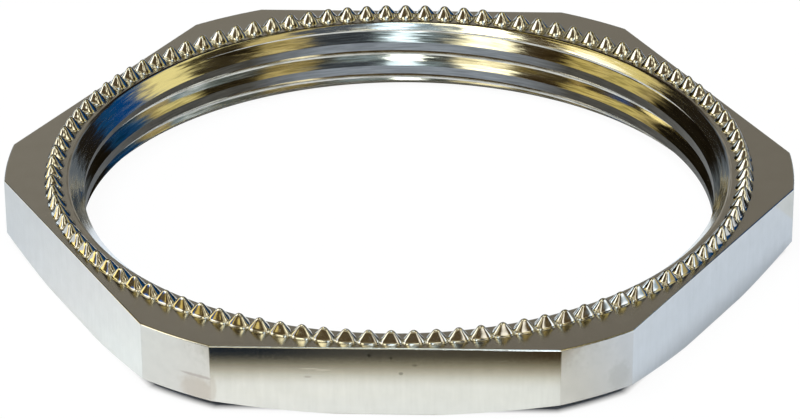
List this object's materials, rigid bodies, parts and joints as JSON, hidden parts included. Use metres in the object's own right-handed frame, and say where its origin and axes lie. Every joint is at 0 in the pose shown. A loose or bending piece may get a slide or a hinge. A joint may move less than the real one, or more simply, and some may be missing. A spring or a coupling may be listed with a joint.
{
  "type": "cable gland locknut",
  "caption": "Thin nickel-plated hexagon locknut with a large threaded bore and a ring of small locking teeth round one face, for fixing a cable gland to a panel.",
  "frame": {"origin": "on the bore's axis, in the plane of the plain face that it rests on", "axes": "+Z along the bore's axis, out of the toothed face; +Y and -Y out of two of the six flats; +X out of a corner"},
  "size_m": [0.045, 0.041, 0.0048],
  "materials": {
    "nickel_plate": "bright nickel plating on brass, satin on the faces and bright in the bore"
  },
  "bodies": {
    "root": {"locknut": "nickel_plate"}
  },
  "joints": []
}
